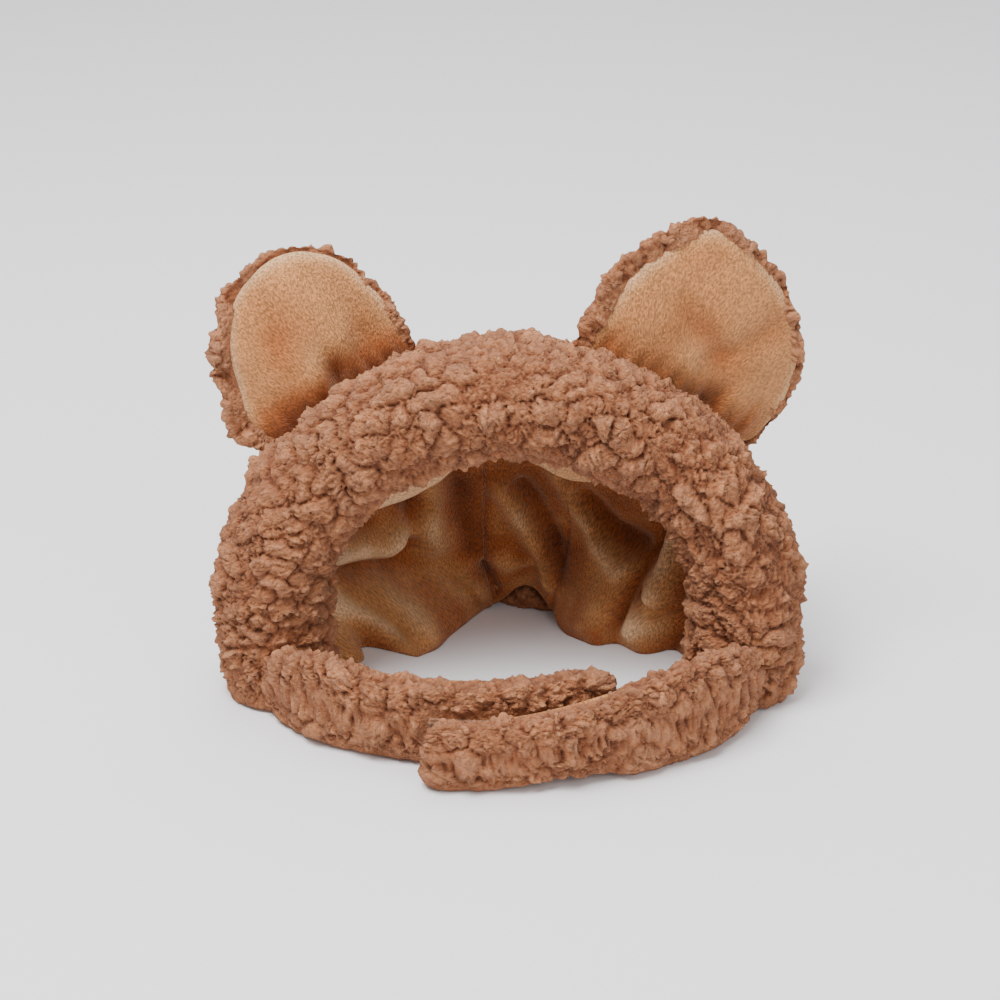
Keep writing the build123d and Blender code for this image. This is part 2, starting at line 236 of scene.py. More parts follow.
def lay_locks(shape, normals, tree, allowed, layer, rng):
    """Heights and shades of one layer of locks over a shape."""
    start = shape.points
    centres = spread_out(shape, tree, allowed, layer["spacing"], rng)
    nearest, second = np.full(len(start), layer["reach"]), np.full(len(start), layer["reach"])
    rises, tones = np.zeros(len(start)), np.zeros(len(start))
    swell = 1 + 0.14 * smooth_noise(start, 2.2, int(rng.integers(1000)))
    combing = COMB_TURN * smooth_noise(start, COMBED, int(rng.integers(1000)))
    for centre in centres:
        length, rise, tone = rng.uniform(*layer["length"]), rng.normal() * layer["rise"], rng.random()
        turn, bend = combing[centre] + rng.normal() * COMB_SPREAD, rng.uniform(*LOCK_BEND)
        if rng.random() < STRAY_LOCKS:
            rise += STRAY_RISE
        found = tree.find_range(start[centre], length / 2 + layer["reach"])
        near = np.array([index for _, index, _ in found])
        normal = normals[centre]
        side = np.cross(normal, UP if abs(normal[2]) < 0.9 else (1.0, 0.0, 0.0))
        side /= norm(side)
        across = np.cross(normal, side)
        away = start[near] - start[centre]
        flat = np.stack([away @ side, away @ across], axis=1)
        distance = np.full(len(near), np.inf)
        for angle in (turn, turn + pi - bend):
            way = np.array((cos(angle), sin(angle)))
            along = np.clip(flat @ way, 0, length / 2)
            distance = np.minimum(distance, norm(flat - along[:, None] * way, axis=1))
        distance = np.where(normals[near] @ normal > 0.2, distance * swell[near], np.inf)
        closest = distance < nearest[near]
        second[near] = np.where(closest, nearest[near], np.minimum(second[near], distance))
        won = near[closest]
        nearest[won], rises[won], tones[won] = distance[closest], rise, tone
    gap = np.clip((second - nearest) / (2 * layer["crease"]), 0, 1)
    lump = np.sqrt(1 - (1 - gap) ** 2)
    return (layer["depth"] + np.clip(rises, *RISE_LIMITS)) * lump - EDGE_FALL * nearest, tones


def curl_pile(shape, mask, seed, tall=1.0, deepest=-2.6, lift=0.0):
    """Cover a shape with locks of pile where the mask is 1, and none where it is 0. Tall scales the pile,
    lift raises it, and deepest is as far as it goes in."""
    rng = np.random.default_rng(seed)
    normals, areas = shape.normals_and_areas()
    start = shape.points
    tree = KDTree(len(start))
    for i, point in enumerate(start):
        tree.insert(point, i)
    tree.balance()
    allowed = mask > 0.02
    height, lock = np.zeros(len(start)), None
    for layer in LAYERS:
        rise, lock = lay_locks(shape, normals, tree, allowed, layer, rng)
        height += rise
    height += ROUGHNESS * smooth_noise(start, 1.1, seed + 60)
    height = np.maximum(height - np.average(height, weights=areas * allowed) + lift, deepest)
    valley = height - shape.blurred(height, VALLEY_ROUNDS)
    lean = smooth_vectors(start, 8.0, seed + 70) * np.maximum(height, -1.5)[:, None] * PILE_LEAN
    lean += 0.45 * smooth_vectors(start, 2.6, seed + 80)
    lean -= normals * (lean * normals).sum(1)[:, None]
    shape.points = start + (normals * (height * tall + PILE_STANDS)[:, None] + lean) * mask[:, None]
    # Painted shade: the colour value is darker in the valleys and low places between locks and paler on the
    # tips.
    shade = np.clip(0.5 + (0.35 * height + 0.65 * valley) / SHADE_RANGE, 0, 1)
    shape.values["painted_crevice_shade"] = shade * mask + 0.5 * (1 - mask)
    shape.values["pile_lock"] = lock
    return shape


# ---- materials ----
def new_material(name):
    """An empty node material and a helper that adds its nodes."""
    material = bpy.data.materials.new(name)
    material.use_nodes = True
    tree = material.node_tree
    shader = tree.nodes["Principled BSDF"]

    def add(kind, inputs=(), **settings):
        node = tree.nodes.new("ShaderNode" + kind)
        for key, value in settings.items():
            setattr(node, key, value)
        for key, value in dict(inputs).items():
            if isinstance(value, bpy.types.NodeSocket):
                tree.links.new(value, node.inputs[key])
            else:
                node.inputs[key].default_value = value
        return node

    return material, tree, shader, add


def ramp(add, factor, stops):
    """A colour ramp through (position, colour) stops."""
    node = add("ValToRGB", {"Fac": factor})
    elements = node.color_ramp.elements
    while len(elements) < len(stops):
        elements.new(1.0)
    for element, (position, colour) in zip(elements, stops):
        element.position, element.color = position, (*colour, 1.0)
    return node.outputs["Color"]


def set_plain(shader, **values):
    """Set plain values on a shader's inputs."""
    for key, value in values.items():
        shader.inputs[key.replace("_", " ")].default_value = value


def srgb(red, green, blue):
    """A linear colour from 0-255 screen values."""
    def linear(value):
        value /= 255
        return value / 12.92 if value <= 0.04045 else ((value + 0.055) / 1.055) ** 2.4
    return tuple(linear(v) for v in (red, green, blue))


def fleece_material():
    """Curly fleece: dusty tan locks with painted shade, orange brown in the depths between them, each lock a
    little different.
    """
    material, tree, shader, add = new_material("curly_fleece")
    depth = add("Attribute", attribute_name="painted_crevice_shade").outputs["Fac"]
    lock = add("Attribute", attribute_name="pile_lock").outputs["Fac"]
    place = add("TexCoord").outputs["Object"]
    # Painted shade: darker, more orange brown colour in the crevices between locks, paler on the tips.
    crevice_shade_colour = ramp(add, depth, [
        (0.05, srgb(84, 42, 26)), (0.26, srgb(130, 80, 54)),
        (0.5, srgb(170, 118, 86)), (0.85, srgb(196, 146, 112)),
    ])
    tints = ramp(add, lock, [
        (0.0, srgb(206, 184, 172)), (0.5, srgb(236, 214, 196)), (1.0, srgb(255, 228, 204)),
    ])
    mixed = add("Mix", {"Factor": 0.8}, data_type="RGBA", blend_type="MULTIPLY")
    tree.links.new(crevice_shade_colour, mixed.inputs["A"])
    tree.links.new(tints, mixed.inputs["B"])
    broad = add("TexNoise", {"Vector": place, "Scale": 45.0, "Detail": 2.0}).outputs["Fac"]
    bright = add("MapRange", {"Value": broad, "To Min": 0.9, "To Max": 1.14}).outputs["Result"]
    colour = add("HueSaturation", {"Color": mixed.outputs["Result"], "Value": bright})
    tree.links.new(colour.outputs["Color"], shader.inputs["Base Color"])
    set_plain(shader, Roughness=0.95, Specular_IOR_Level=0.1)
    set_plain(shader, Sheen_Weight=0.12, Sheen_Roughness=0.6, Sheen_Tint=(*srgb(255, 226, 205), 1.0))
    bent = add("TexNoise", {"Vector": place, "Scale": 420.0, "Detail": 1.0}).outputs["Color"]
    warped = add("Mix", {"Factor": 0.0016}, data_type="RGBA", blend_type="ADD")
    tree.links.new(place, warped.inputs["A"])
    tree.links.new(bent, warped.inputs["B"])
    pebbles = add("TexVoronoi", {"Vector": warped.outputs["Result"], "Scale": 760.0})
    fibre = add("TexNoise", {"Vector": place, "Scale": 1500.0, "Detail": 4.0, "Distortion": 0.8})
    knob = add("Math", {0: pebbles.outputs["Distance"], 1: -1.0}, operation="MULTIPLY")
    grain = add("Math", {0: fibre.outputs["Fac"], 1: 0.9}, operation="MULTIPLY")
    relief = add("Math", {0: knob.outputs["Value"], 1: grain.outputs["Value"]}, operation="ADD")
    bump = add("Bump", {"Strength": 1.0, "Distance": 0.0012, "Height": relief.outputs["Value"]})
    tree.links.new(bump.outputs["Normal"], shader.inputs["Normal"])
    return material


def plush_material():
    """Short plush: golden tan pile that lies in streaks, paler in random patches, and paler or darker by a
    value that holds random tone and painted light: painted highlight on ridges, rims and brushed spots,
    painted shade in folds and dents.
    """
    material, tree, shader, add = new_material("tan_plush")
    tone_and_painted_light = add("Attribute", attribute_name="tone_and_painted_light").outputs["Fac"]
    pile = add("Attribute", attribute_name="pile").outputs["Vector"]
    place = add("TexCoord").outputs["Object"]
    stretched = add("Mapping", {"Vector": pile, "Scale": (1.0, 0.36, 1.0)}).outputs["Vector"]
    streak = add("TexNoise", {"Vector": stretched, "Scale": 2.3, "Detail": 2.0, "Roughness": 0.6})
    brushed = add("TexNoise", {"Vector": place, "Scale": 70.0, "Detail": 3.0, "Roughness": 0.6})
    # Painted light: low values give paler colour for painted highlight, high values darker colour for painted
    # shade.
    base = ramp(add, tone_and_painted_light, [
        (0.0, srgb(222, 180, 138)), (0.3, srgb(192, 134, 84)),
        (0.6, srgb(162, 90, 44)), (1.0, srgb(104, 44, 18)),
    ])
    light = add("MapRange", {"Value": brushed.outputs["Fac"], "From Min": 0.3, "From Max": 0.7,
                                       "To Min": 0.86, "To Max": 1.12}).outputs["Result"]
    strand = add("MapRange", {"Value": streak.outputs["Fac"], "From Min": 0.38, "From Max": 0.62,
                                        "To Min": 0.66, "To Max": 1.3}).outputs["Result"]
    value = add("Math", {0: light, 1: strand}, operation="MULTIPLY").outputs["Value"]
    colour = add("HueSaturation", {"Color": base, "Value": value})
    tree.links.new(colour.outputs["Color"], shader.inputs["Base Color"])
    set_plain(shader, Roughness=0.8, Specular_IOR_Level=0.2)
    set_plain(shader, Sheen_Weight=0.35, Sheen_Roughness=0.45, Sheen_Tint=(*srgb(255, 228, 196), 1.0))
    bump = add("Bump", {"Strength": 1.0, "Distance": 0.0011, "Height": streak.outputs["Fac"]})
    tree.links.new(bump.outputs["Normal"], shader.inputs["Normal"])
    return material


def cloth_material(name, dark, light, scale, roughness=0.9, bump_strength=0.5):
    """A plain woven or fibrous material with fine grain, for tapes, thread, elastic and wadding."""
    material, tree, shader, add = new_material(name)
    place = add("TexCoord").outputs["Object"]
    grain = add("TexVoronoi", {"Vector": place, "Scale": scale}).outputs["Distance"]
    patches = add("TexNoise", {"Vector": place, "Scale": scale / 6, "Detail": 3.0}).outputs["Fac"]
    blend = add("Math", {0: grain, 1: patches}, operation="MULTIPLY").outputs["Value"]
    tree.links.new(ramp(add, blend, [(0.0, dark), (0.5, light)]), shader.inputs["Base Color"])
    set_plain(shader, Roughness=roughness)
    bump = add("Bump", {"Strength": bump_strength, "Distance": 0.0003, "Height": grain})
    tree.links.new(bump.outputs["Normal"], shader.inputs["Normal"])
    return material


FLEECE = fleece_material()
PLUSH = plush_material()
CARRIED = {
    "face_band_wadding": cloth_material("wadding", srgb(222, 218, 208), srgb(248, 246, 240), 400.0),
    "neck_elastic": cloth_material("elastic", srgb(196, 190, 178), srgb(238, 233, 224), 1200.0),
    "hook_patch": cloth_material("hook_tape", srgb(78, 50, 34), srgb(140, 98, 70), 1500.0, 0.5, 1.0),
    "loop_patch": cloth_material("loop_tape", srgb(104, 68, 48), srgb(172, 126, 94), 1100.0, 0.95, 0.8),
    "hook_stitching": cloth_material("thread", srgb(140, 96, 66), srgb(196, 148, 112), 4000.0, 0.6, 0.6),
}
CARRIED["loop_stitching"] = CARRIED["hook_stitching"]
for node, material in CARRIED.items():
    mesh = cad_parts[node].data
    mesh.materials.clear()
    mesh.materials.append(material)


def steps(length, spacing):
    """How many equal steps of about that spacing fill a length."""
    return max(2, int(round(length / spacing)))


FLEECE_GRID = 0.66
PLUSH_GRID = 0.7


# ---- face roll ----
def arch_line(spacing):
    """Points along the middle of the roll from the left foot to the right, with their outward directions."""
    fine = 4000
    height = np.linspace(0, 1, fine)
    legs = height * ARCH_LEG
    angle = np.linspace(pi, 0, fine)
    foot = np.full(fine, ARCH_HALF_SPAN)
    across = np.concatenate([-foot, ARCH_HALF_SPAN * np.cos(angle), foot])
    up = np.concatenate([legs, ARCH_LEG + ARCH_RISE * np.sin(angle), legs[::-1]])
    travel = np.concatenate([[0], np.cumsum(np.hypot(np.diff(across), np.diff(up)))])
    wanted = np.linspace(0, travel[-1], steps(travel[-1], spacing))
    across, up = np.interp(wanted, travel, across), np.interp(wanted, travel, up)
    tangent = np.stack([np.gradient(across), np.gradient(up)], axis=1)
    tangent /= norm(tangent, axis=1, keepdims=True)
    return across, up, -tangent[:, 1], tangent[:, 0]


FOOT_HEIGHT = 22.0            # the height up to which a foot of the roll is squeezed
FOOT_SQUEEZE = 0.86


def face_band():
    """The padded roll: thick and uneven, and squeezed in at its feet."""
    across, up, out_x, out_up = arch_line(FLEECE_GRID)
    turn = np.linspace(0, 2 * pi, steps(2 * pi * ROLL_DEPTH, FLEECE_GRID), endpoint=False)
    foot = np.clip(up / FOOT_HEIGHT, 0, 1)
    squeeze = FOOT_SQUEEZE + (1 - FOOT_SQUEEZE) * foot * (2 - foot)
    centre_x = across * (1 - 0.02 * (1 - foot))
    rings = []
    for i in range(len(across)):
        centre = np.array((centre_x[i], ARCH_Y, 0)) + LEAN_UP * up[i]
        outward = np.array((out_x[i], 0, 0)) + LEAN_UP * out_up[i]
        ring = np.outer(np.cos(turn) * ROLL_RADIAL * squeeze[i], outward)
        ring += np.outer(np.sin(turn) * ROLL_DEPTH * squeeze[i], LEAN_BACK)
        rings.append(centre + ring)
    first, last = rings[0].mean(0), rings[-1].mean(0)
    closing = [first + (rings[0] - first) * share for share in (0.9, 0.6, 0.3)]
    opening = [last + (ring - first) for ring in closing]
    shape = tube(np.array(closing[::-1] + rings + opening))
    normals, _ = shape.normals_and_areas()
    puff = 1.5 * smooth_noise(shape.points, 24.0, 3) + 0.9 * smooth_noise(shape.points, 11.0, 4)
    high = np.clip((shape.points[:, 2] - 1.0) / 6.0, 0, 1)
    shape.points += normals * (puff * high)[:, None]
    curl_pile(shape, np.maximum(high, 0.3), seed=11)
    piece = build("face_roll", shape.rest_on_floor(), FLEECE, ["face_band"])
    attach(piece, "hood")


# ---- crown ----
def bonnet(half, side, climb, base):
    """Points of a bonnet. Side runs round from left to right in radians. Climb is the height up the skirt,
    as far as base, and then radians over the dome times the dome's height."""
    over = np.maximum(climb - base, 0) / half[2]
    x = half[0] * np.sin(side)
    y = CROWN_MIDDLE[1] + half[1] * np.cos(side) * np.cos(over)
    z = np.minimum(climb, base) + half[2] * np.cos(side) * np.sin(over)
    return np.stack([x, y, z], axis=-1)


CROWN_LOW = 12.5              # the crown's lower edge, on the hem
CROWN_OVER = 1.72             # radians over the dome, to inside the face roll
CROWN_PANEL_THICK = 6.0
CROWN_SIDE = 1.57             # radians round, to inside the feet of the face roll
SEAM_SIDE = float(np.arcsin(GUSSET_HALF / CROWN_HALF[0]))
SEAM_LAP = 0.022              # radians by which the curls of two panels mix at their seam


def crown_panels():
    """The three fleece panels of the crown, pulled in a little where they are sewn together."""
    panels = {
        "crown_side_left": (-CROWN_SIDE, SEAM_LAP - SEAM_SIDE),
        "crown_gusset": (-SEAM_SIDE - SEAM_LAP, SEAM_SIDE + SEAM_LAP),
        "crown_side_right": (SEAM_SIDE - SEAM_LAP, CROWN_SIDE),
    }
    size = CROWN_HALF - (1.5, 1.5, 3.2)
    top = CROWN_MIDDLE[2] + CROWN_OVER * size[2]
    for seed, (node, (start, end)) in enumerate(panels.items(), start=21):
        side = np.linspace(start, end, steps((end - start) * size[0] * 0.9, 0.75))
        climb = np.linspace(CROWN_LOW, top, steps(top - CROWN_LOW, 0.75))
        side, climb = np.meshgrid(side, climb, indexing="ij")
        outer = bonnet(size, side, climb, CROWN_MIDDLE[2])
        seam = np.exp(-(((np.abs(outer[..., 0]) - GUSSET_HALF) / 2.6) ** 2))
        seam += np.exp(-(((outer[..., 2] - CROWN_LOW) / 2.2) ** 2))
        away = outer - CROWN_MIDDLE
        away[..., 2] = np.maximum(away[..., 2], 0)
        away /= norm(away, axis=-1, keepdims=True)
        flat = outer.reshape(-1, 3)
        puff = (1.5 * smooth_noise(flat, 26.0, 5) + 0.8 * smooth_noise(flat, 12.0, 6)).reshape(seam.shape)
        tuck = np.clip((climb - top + 30.0) / 30.0, 0, 1) ** 2
        outer += away * (puff - 1.3 * seam - 9.0 * tuck)[..., None]
        shape = shell(outer, outer - away * CROWN_PANEL_THICK)
        mask = np.ones(len(shape.points))
        mask[outer.shape[0] * outer.shape[1]:] = 0
        curl_pile(shape, mask, seed=seed)
        piece = build(node + "_fleece", shape, FLEECE, [node])
        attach(piece, "hood")


HEM_HIGH, HEM_THICK = 17.0, 10.0
HEM_SIDE = 1.72               # radians round, to inside the feet of the face roll


def neck_hem():
    """The fleece hem round the back of the neck, curled in where the lining is lifted off it."""
    half = CROWN_HALF[:2] - HEM_THICK / 2 - 0.6
    side = np.linspace(-HEM_SIDE, HEM_SIDE, steps(215.0, 0.75))
    turn = np.linspace(0, 2 * pi, steps(2 * (HEM_HIGH + HEM_THICK), 0.75), endpoint=False)
    square = 0.6
    across = np.sign(np.cos(turn)) * np.abs(np.cos(turn)) ** square * HEM_THICK / 2
    rise = HEM_HIGH / 2 * (1 + np.sign(np.sin(turn)) * np.abs(np.sin(turn)) ** square)
    rings = []
    for angle in side:
        outward = np.array((half[1] * sin(angle), half[0] * cos(angle)))
        outward /= norm(outward)
        place = np.array((half[0] * sin(angle), CROWN_MIDDLE[1] + half[1] * cos(angle)))
        curl_in = 9.0 * np.exp(-(((angle - 0.14) / 0.2) ** 2)) * np.exp(-((rise / 8.0) ** 2)) * (across < 0)
        ring = np.zeros((len(turn), 3))
        ring[:, :2] = place + np.outer(across - curl_in, outward)
        ring[:, 2] = rise
        rings.append(ring)
    shape = tube(np.array(rings))
    curl_pile(shape, np.clip(shape.points[:, 2] / 3.0, 0.3, 1), seed=31)
    piece = build("neck_hem_fleece", shape.rest_on_floor(), FLEECE, ["neck_hem"])
    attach(piece, "hood")


# ---- lining ----
LINING_HALF = np.array((64.0, 47.0, 65.0))
LINING_THICK = 1.6
LINING_GRID = 0.8
LINING_SIDE = 1.68
PLAN_SCALE = radians(55.0)    # millimetres round the lining for each degree
EDGE_ROUNDING = np.linspace(-4.5, 4.5, 6)     # degrees over which the loose edge's corners are rounded
# The loose lower edge on the floor: degrees round from the back, its x, y and z, and how far up it is loose.
LOOSE_EDGE = [
    (-96, -63, 1, 0, 10), (-84, -60, 9, 0, 10), (-76, -43, 13, 0, 15), (-68, -50, 25, 0, 20),
    (-61, -40, 23, 0, 27), (-54, -33, 18, 0, 27), (-45, -25, 20, 0, 25), (-34, -18, 32, 0, 22),
    (-23, -12, 45, 0, 20), (-14, -8, 50, 0, 16), (-6, -5, 50, 1, 16), (1, 1, 51, 6, 18),
    (7, 6, 51, 11, 20), (13, 11, 47, 7, 24), (19, 15, 39, 2, 30), (26, 17, 33, 0, 34),
    (36, 22, 29, 0, 34), (46, 29, 23, 0, 34), (53, 37, 30, 0, 40), (60, 42, 16, 0, 44),
    (70, 52, 24, 0, 34), (82, 61, 9, 0, 15), (96, 63, 1, 0, 10),
]
# Folds: their ridge or valley line in degrees round and height, half width and depth in mm, inward positive.
FOLDS = [
    ([(-84, 38), (-60, 33), (-42, 29), (-33, 31)], 6.5, 7.0),
    ([(-80, 26), (-58, 24.5), (-40, 22), (-30, 26)], 3.2, -5.0),
    ([(-84, 22), (-68, 17), (-58, 7), (-54, 1)], 4.0, 4.0),
    ([(-48, 16), (-44, 6)], 6.0, 3.0),
    ([(-31, 30), (-29, 42), (-33, 52)], 3.5, -4.5),
    ([(-24, 50), (-25, 38), (-22, 26)], 4.5, 3.5),
    ([(-52, 50), (-50, 43)], 5.0, -2.5),
    ([(-15, 54), (-14, 38), (-11, 22), (-9, 12)], 4.0, -3.0),
    ([(-12, 16), (-13, 8)], 5.0, 3.5),
    ([(-7, 14), (-4.5, 4)], 1.8, -3.5),
    ([(-4, 20), (0, 14), (5, 14.5)], 2.4, 2.4),
    ([(-3, 44), (2, 36), (7, 27), (11, 19), (14, 10)], 3.4, 5.0),
    ([(4, 44), (10, 33), (14, 23), (18, 14)], 3.0, -4.0),
    ([(14, 52), (21, 38), (30, 29), (42, 23)], 3.6, 4.5),
    ([(22, 44), (32, 34), (44, 30)], 3.0, -3.0),
    ([(30, 24), (36, 12)], 9.0, 2.0),
    ([(50, 48), (52, 36), (49, 22), (50, 8)], 3.0, -4.0),
    ([(60, 50), (58, 40), (60, 26), (58, 8)], 4.5, 5.0),
    ([(54, 17), (62, 14), (72, 16)], 2.0, -4.0),
    ([(70, 34), (72, 16), (70, 4)], 3.5, -5.0),
]
# Painted highlight where the brushed pile catches the light: degrees round and height of the spot, its half
# sizes, and how much paler.
PAINTED_BRUSHED_HIGHLIGHTS = [(-74, 28, 16, 12, 0.22), (-66, 12, 16, 10, 0.3), (62, 20, 9, 16, 0.16), (44, 10, 10, 8, 0.1)]
LINING_SEAMS = {"left": -7.0, "right": 18.0}      # degrees round from the back


def line_distance(points, line):
    """How far each point of a plane is from a line of straight runs."""
    best = np.full(len(points), np.inf)
    for start, end in zip(line, line[1:]):
        run = end - start
        share = np.clip(((points - start) @ run) / (run @ run), 0, 1)
        best = np.minimum(best, norm(points - start - share[:, None] * run, axis=1))
    return best


def loose_lining(side, climb):
    """The lining where it hangs in folds, and how far each point stands in from the smooth bonnet."""
    smooth = bonnet(LINING_HALF, side, climb, CROWN_MIDDLE[2])
    degrees_round = np.degrees(side)
    table = np.array(LOOSE_EDGE, float)
    shifted = [degrees_round + shift for shift in EDGE_ROUNDING]
    edge = [np.mean([np.interp(at, table[:, 0], table[:, i]) for at in shifted], axis=0) for i in range(1, 5)]
    foot = bonnet(LINING_HALF, side, np.zeros_like(side), CROWN_MIDDLE[2])
    share = np.clip(climb / edge[3], 0, 1)
    loose = (1 - share**2) ** 2
    moved = smooth.copy()
    moved[..., 0] += (edge[0] - foot[..., 0]) * loose
    moved[..., 1] += (edge[1] - foot[..., 1]) * loose
    moved[..., 2] += edge[2] * np.clip(1 - climb / 22.0, 0, 1)
    inward = np.stack([-np.sin(side), -np.cos(side) * 0.9, -0.25 * np.clip(climb / 60.0, 0, 1)], axis=-1)
    inward /= norm(inward, axis=-1, keepdims=True)
    plan = np.stack([degrees_round.ravel() * PLAN_SCALE, climb.ravel()], axis=1)
    depth = np.zeros(len(plan))
    for line, wide, amount in FOLDS:
        route = np.array(line, float) * (PLAN_SCALE, 1.0)
        depth += amount * np.exp(-((line_distance(plan, route) / wide) ** 2))
    flat = smooth.reshape(-1, 3)
    depth += 1.0 * smooth_noise(flat, 13.0, 91) + 0.4 * smooth_noise(flat, 5.0, 92)
    for seam in LINING_SEAMS.values():
        depth -= 1.0 * np.exp(-(((plan[:, 0] - seam * PLAN_SCALE) / 0.9) ** 2))
    depth = depth.reshape(side.shape)
    return moved + inward * depth[..., None], depth


def facing_strip(start, end):
    """The turned-in plush edge inside the top of the face roll, between two shares of the arch."""
    turn = np.linspace(start, end, steps(abs(end - start) * (ARCH_HALF_SPAN - ROLL_RADIAL), LINING_GRID))
    wide = np.linspace(-0.95, 1.1, 42)
    turn, wide = np.meshgrid(turn, wide, indexing="ij")
    bulge = 12.4 * np.exp(-(((turn - 2.15) / 0.46) ** 2)) + 12.0 * np.exp(-(((turn - 1.2) / 0.34) ** 2))
    ripple = np.stack([turn.ravel() * 60, wide.ravel() * 8, 0 * turn.ravel()], axis=1)
    bulge += 0.5 * smooth_noise(ripple, 6.0, 93).reshape(turn.shape)
    radial = (5.5 - ROLL_RADIAL) * np.cos(wide) - bulge * np.exp(-(((wide - 0.3) / 0.42) ** 2))
    depth = ROLL_DEPTH * np.sin(wide)
    across = ARCH_HALF_SPAN * np.cos(turn) + radial * np.cos(turn)
    up = ARCH_LEG + ARCH_RISE * np.sin(turn) + radial * np.sin(turn)
    middle = np.array((0, ARCH_Y, 0)) + across[..., None] * (1, 0, 0) + up[..., None] * LEAN_UP
    outer = middle + depth[..., None] * LEAN_BACK
    outward = np.cos(turn)[..., None] * (1, 0, 0) + np.sin(turn)[..., None] * LEAN_UP
    shape = shell(outer, outer + outward * LINING_THICK)
    shape.values["tone_and_painted_light"] = np.tile(np.clip(0.42 - 0.13 * turn.ravel(), 0.12, 0.4), 2)
    shape.values["pile"] = np.tile(ripple * (1, 2.5, 1), (2, 1))
    return shape


def lining():
    """The plush lining: two side panels and a middle one, gathered into loose folds on the floor."""
    left, right = (radians(LINING_SEAMS[key]) for key in ("left", "right"))
    panels = {
        "lining_side_left": (-LINING_SIDE, left, 3.05, 1.85, (0.112, 0.112)),
        "lining_gusset": (left, right, 1.85, 1.3, (0.044, 0.125)),
        "lining_side_right": (right, LINING_SIDE, 1.3, 0.1, (0.1, 0.1)),
    }
    top = CROWN_MIDDLE[2] + 1.75 * LINING_HALF[2]
    for node, (start, end, strip_start, strip_end, flat) in panels.items():
        side = np.linspace(start, end, steps((end - start) * 66.0, LINING_GRID))
        climb = np.linspace(0.2, top, steps(top, LINING_GRID))
        side, climb = np.meshgrid(side, climb, indexing="ij")
        inner, depth = loose_lining(side, climb)
        outward = bonnet(LINING_HALF, side, climb, CROWN_MIDDLE[2]) - CROWN_MIDDLE
        outward[..., 2] = np.maximum(outward[..., 2], 0)
        outward /= norm(outward, axis=-1, keepdims=True)
        shape = shell(inner, inner + outward * LINING_THICK)
        flat_points = np.column_stack([np.degrees(side).ravel(), climb.ravel(), 0 * side.ravel()])
        patchy_tone_and_painted_light = 0.16 * smooth_noise(flat_points, 11.0, 94) + 0.08 * smooth_noise(flat_points, 4.0, 95)
        for turn, height, wide, tall, amount in PAINTED_BRUSHED_HIGHLIGHTS:
            spot = ((flat_points[:, 0] - turn) / wide) ** 2 + ((flat_points[:, 1] - height) / tall) ** 2
            patchy_tone_and_painted_light -= amount * np.exp(-spot)
        # Painted light: the lining is coloured paler on the ridges of the folds and darker in their valleys,
        # with painted highlight on the brushed spots and random patches of tone.
        tone_and_painted_light = np.clip(0.6 - 0.07 * depth.ravel() + patchy_tone_and_painted_light, 0, 1)
        shape.values["tone_and_painted_light"] = np.tile(tone_and_painted_light, 2)
        shape.values["pile"] = np.tile(flat_points, (2, 1))
        shape = joined(shape, facing_strip(strip_start, strip_end))
        piece = build(node + "_plush", shape.rest_on_floor(), PLUSH, [node])
        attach(piece, "hood")


# ---- chin strap ----
def upright_strip(path, outward, low, high, thick, spacing, round_start=0.0, round_end=0.0):
    """A closed strip standing on edge along a path of (x, y), as thick and high as given at each point."""
    travel = np.concatenate([[0], np.cumsum(norm(np.diff(path, axis=0), axis=1))])
    girth = 2 * (np.max(high - low) + np.max(thick))
    turn = np.linspace(0, 2 * pi, steps(girth, spacing), endpoint=False)
    square = 0.55
    side = np.sign(np.cos(turn)) * np.abs(np.cos(turn)) ** square
    rise = np.sign(np.sin(turn)) * np.abs(np.sin(turn)) ** square
    rings = []
    for i, distance in enumerate(travel):
        taper = 1.0
        for gone, rounding in ((distance, round_start), (travel[-1] - distance, round_end)):
            if gone < rounding:
                taper = sqrt(max(1 - (1 - gone / rounding) ** 2, 0.0025))
        half_height = (high[i] - low[i]) / 2
        pinch = 1 - (1 - taper) * 0.35
        ring = np.zeros((len(turn), 3))
        ring[:, :2] = path[i] + np.outer(side * thick[i] / 2 * taper, outward[i])
        ring[:, 2] = (high[i] + low[i]) / 2 + rise * half_height * pinch
        rings.append(ring)
    return tube(np.array(rings))


def arc_path(centre, radius, start, end, spacing):
    """Points along an arc with their outward directions. Angles are in degrees."""
    count = steps(abs(radians(end - start)) * radius, spacing)
    angle = np.radians(np.linspace(start, end, count))
    outward = np.stack([np.cos(angle), np.sin(angle)], axis=1)
    return np.asarray(centre) + outward * radius, outward


LEFT_START, LEFT_END = 222.0, 294.4
TAB_START, TAB_END = 296.0, 261.0
LEFT_MIDDLE, LEFT_THICK = 92.6, 10.8
TAB_MIDDLE, TAB_THICK = 108.2, 8.6
RIGHT_THICK = TAB_THICK + 0.8
STRAP_PILE = 0.85             # the height of the straps' pile against the rest
PATCH_MIDDLE, PATCH_SPAN = 271.0, 10.0
PATCH_TOP = 17.0


def angles_round(points):
    """Each point's angle round the strap's centre, in degrees."""
    return np.degrees(np.arctan2(points[:, 1] - STRAP_CENTRE[1], points[:, 0] - STRAP_CENTRE[0])) % 360


ROOT_LENGTH = 32.0            # from the root of a strap to where it is clear of the roll
ROOT_DROP = 13.0              # the top edge at the root below the rest of it
LEFT_FOOT = np.array((-ARCH_HALF_SPAN - 1.0, ARCH_Y - 1.0))
RIGHT_FOOT = np.array((ARCH_HALF_SPAN + 1.0, ARCH_Y - 1.0))


